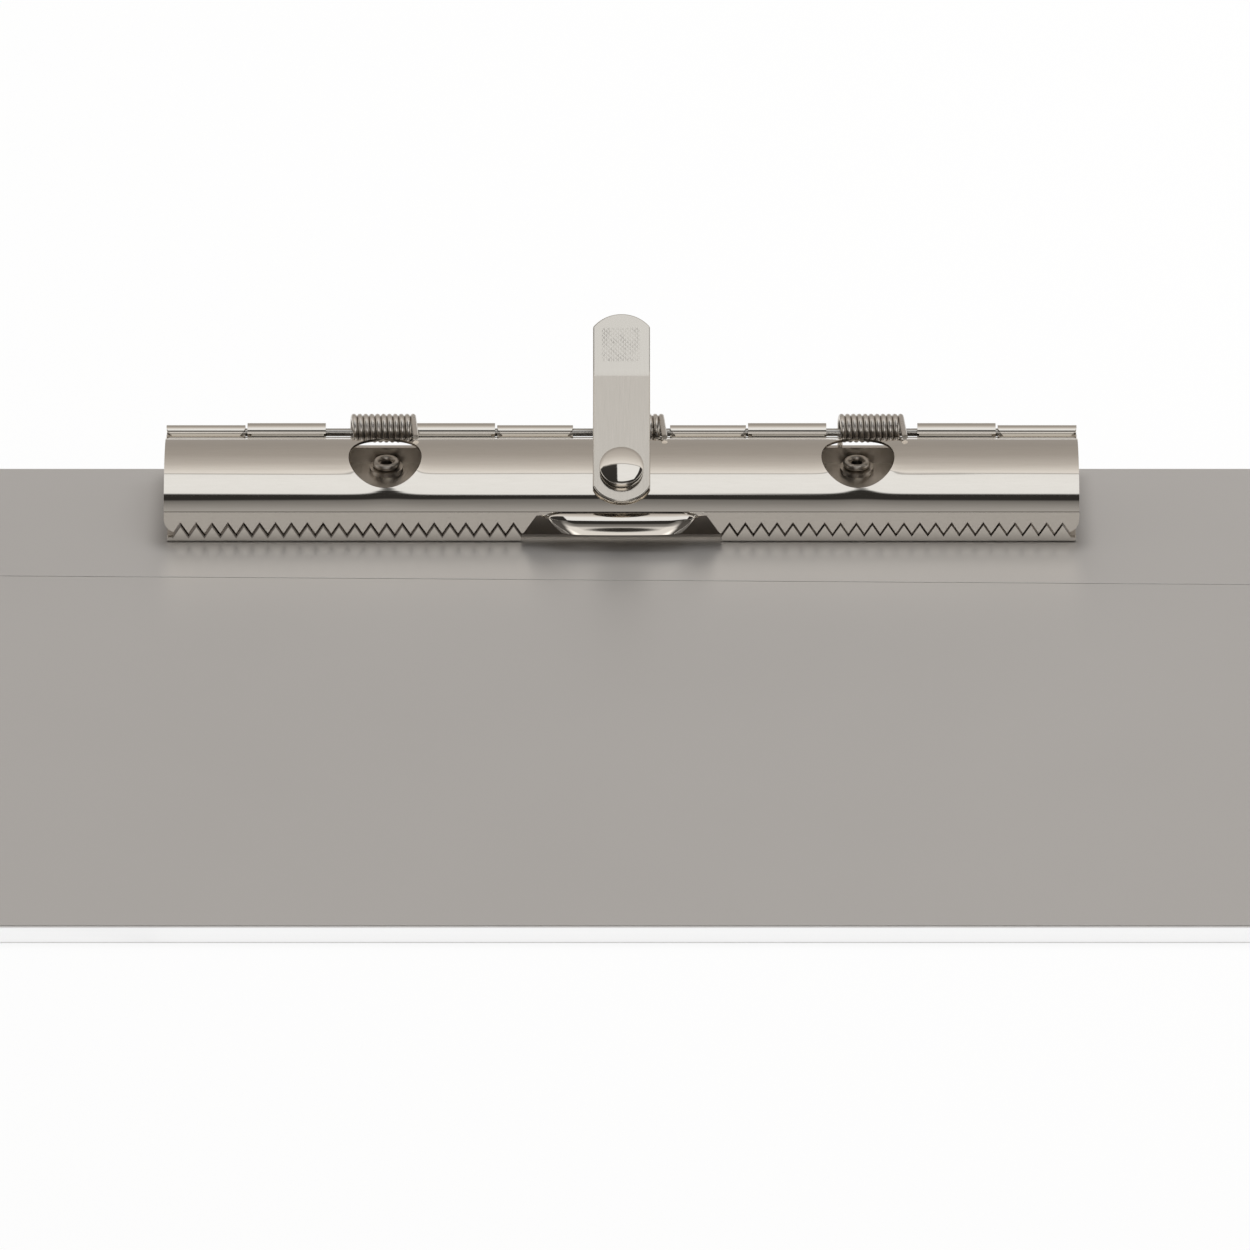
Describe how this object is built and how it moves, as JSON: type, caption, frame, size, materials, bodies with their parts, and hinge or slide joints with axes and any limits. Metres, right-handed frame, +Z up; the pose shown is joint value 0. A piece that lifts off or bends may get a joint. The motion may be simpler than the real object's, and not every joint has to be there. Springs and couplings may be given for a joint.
{
  "type": "clipboard",
  "caption": "Small landscape clipboard: a stiff board clad in satin aluminium, with a long arched spring clip, meshing teeth and a swivelling thumb lever along its top edge.",
  "frame": {"origin": "centre of the board's flat back face", "axes": "+X along the clip, +Y from the board's middle towards the clip end, +Z up from the back face towards the clip"},
  "size_m": [0.22, 0.1498, 0.0305],
  "materials": {
    "greyboard": "plain grey-brown board, hidden under the cladding",
    "cover": "satin warm grey aluminium sheet",
    "facing": "satin warm grey aluminium sheet",
    "nickel_plate": "polished nickel plating",
    "rivet_nickel": "polished nickel plating",
    "pin_steel": "drawn bright wire",
    "spring_steel": "drawn spring wire, darker than the plating",
    "lever_satin": "satin nickel plating with a knurled thumb patch"
  },
  "bodies": {
    "base": {"board_core": "greyboard", "cover_sheet": "cover", "facing_sheet": "facing", "base_plate": "nickel_plate", "rivet_left": "rivet_nickel", "rivet_right": "rivet_nickel", "hinge_pin": "pin_steel", "spring_left": "spring_steel", "spring_centre": "spring_steel", "spring_right": "spring_steel"},
    "jaw": {"jaw_plate": "nickel_plate", "lever_washer": "pin_steel", "lever_rivet": "rivet_nickel"},
    "lever": {"lever": "lever_satin"}
  },
  "joints": [
    {"name": "jaw_hinge", "type": "hinge", "parent": "base", "child": "jaw", "pos_m": [0, 0.068, 0.0127], "axis": [-1, 0, 0], "range_deg": [0, 32], "stiffness_Nm_per_rad": 0.45, "springref_deg": -45.84, "deforming": ["spring_left", "spring_centre", "spring_right"]},
    {"name": "lever_swivel", "type": "hinge", "parent": "jaw", "child": "lever", "pos_m": [0, 0.05308, 0.01323], "axis": [0, -0.5, 0.866], "range_deg": [-90, 90]}
  ]
}
